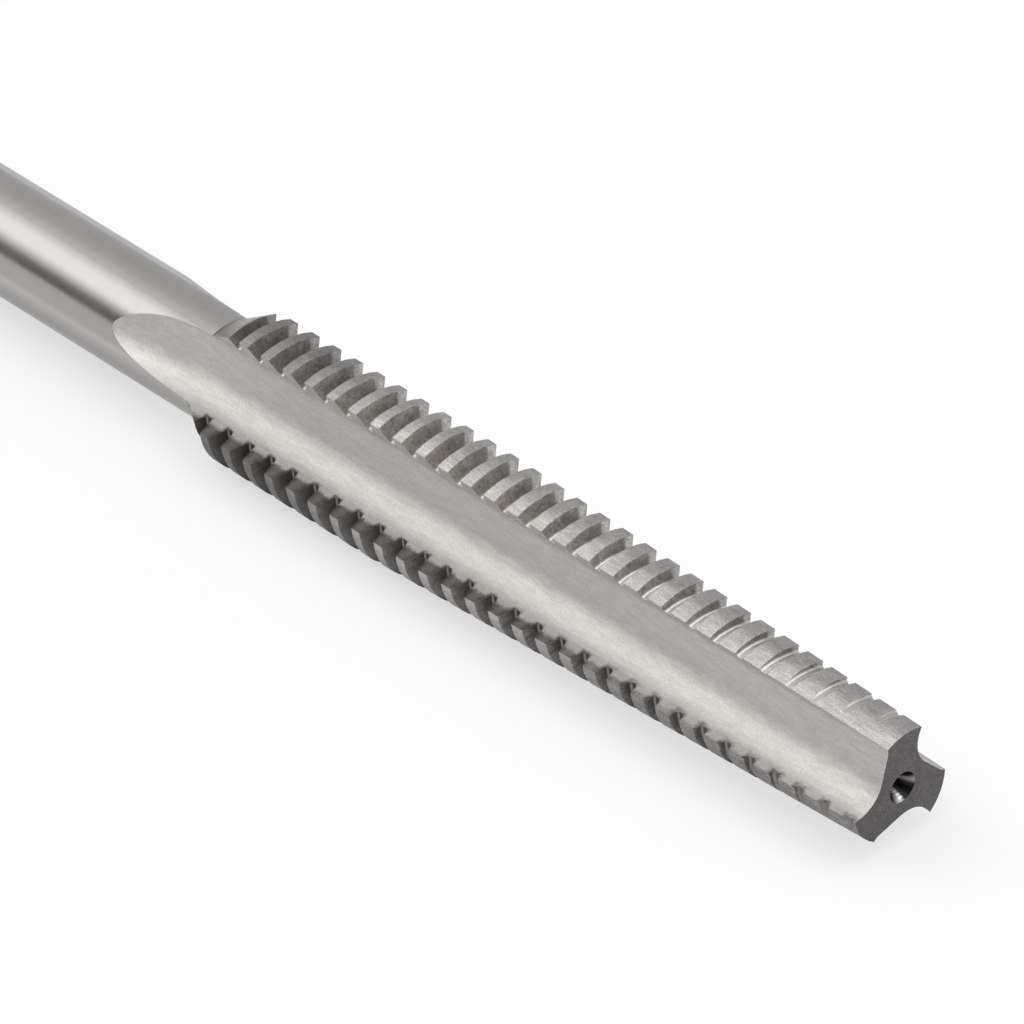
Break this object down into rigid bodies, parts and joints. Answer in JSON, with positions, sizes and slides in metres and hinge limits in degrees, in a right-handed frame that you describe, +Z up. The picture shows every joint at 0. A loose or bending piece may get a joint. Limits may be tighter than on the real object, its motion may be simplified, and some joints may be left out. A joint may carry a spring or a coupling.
{
  "type": "acme thread tap",
  "caption": "Left-hand acme thread tap: one steel tool with tapered, toothed and relieved lands between straight flutes, a round shank and a square drive end.",
  "frame": {"origin": "on the tap's axis, in the middle of the square drive end's face", "axes": "+X along the tap's axis from the drive end to the cutting tip, +Z up through the middle of one land, so that the tap lies on its other lands"},
  "size_m": [0.1333, 0.013, 0.0119],
  "materials": {
    "tool_steel": "bright high-speed steel, ground and satin, with the thread's flanks darker"
  },
  "bodies": {
    "root": {"tap": "tool_steel"}
  },
  "joints": []
}
